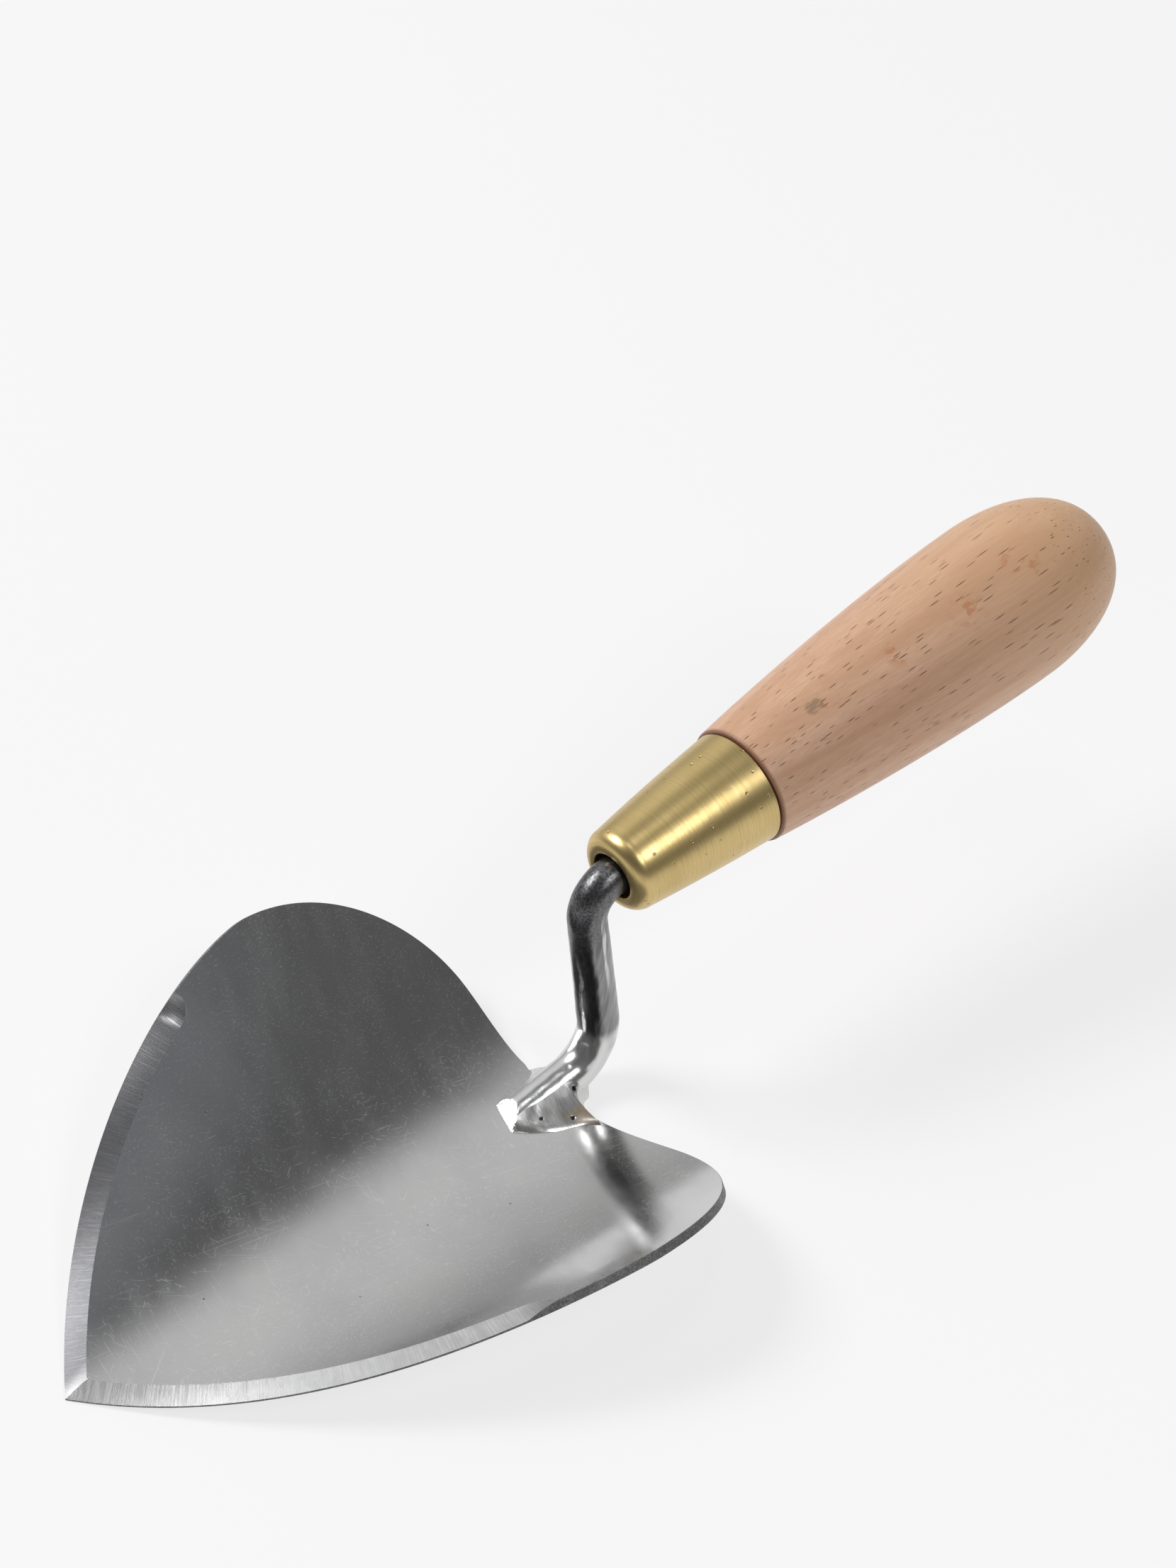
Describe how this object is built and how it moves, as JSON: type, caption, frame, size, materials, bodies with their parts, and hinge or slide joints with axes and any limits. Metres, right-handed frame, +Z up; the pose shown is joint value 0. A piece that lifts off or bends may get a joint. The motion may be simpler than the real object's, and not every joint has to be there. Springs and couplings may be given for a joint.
{
  "type": "heart-shaped garden hand trowel",
  "caption": "Garden hand trowel: dished heart-shaped steel blade with ground edges, cranked steel neck, tapered brass ferrule and turned wooden handle.",
  "frame": {"origin": "middle of the overall box, at the bottom, where the trowel rests", "axes": "+Z up; +Y along the tool, from the tip of the blade to the butt of the handle; +X across the blade"},
  "size_m": [0.129, 0.2856, 0.0885],
  "materials": {
    "blade_steel": "polished satin sheet steel, bright ground bevels, dark rough cut edge",
    "neck_steel": "dark satin forged bar, brushed brighter towards the foot",
    "weld_steel": "weld metal, ground and polished, a few pores, faint tan heat tint",
    "ferrule_brass": "satin brass, fine turning lines",
    "handle_wood": "turned beech, sanded, thin satin oil, fine dark pore dashes along the grain"
  },
  "bodies": {
    "root": {"blade": "blade_steel", "neck": "neck_steel", "weld_left": "weld_steel", "weld_right": "weld_steel", "ferrule": "ferrule_brass", "handle": "handle_wood"}
  },
  "joints": []
}
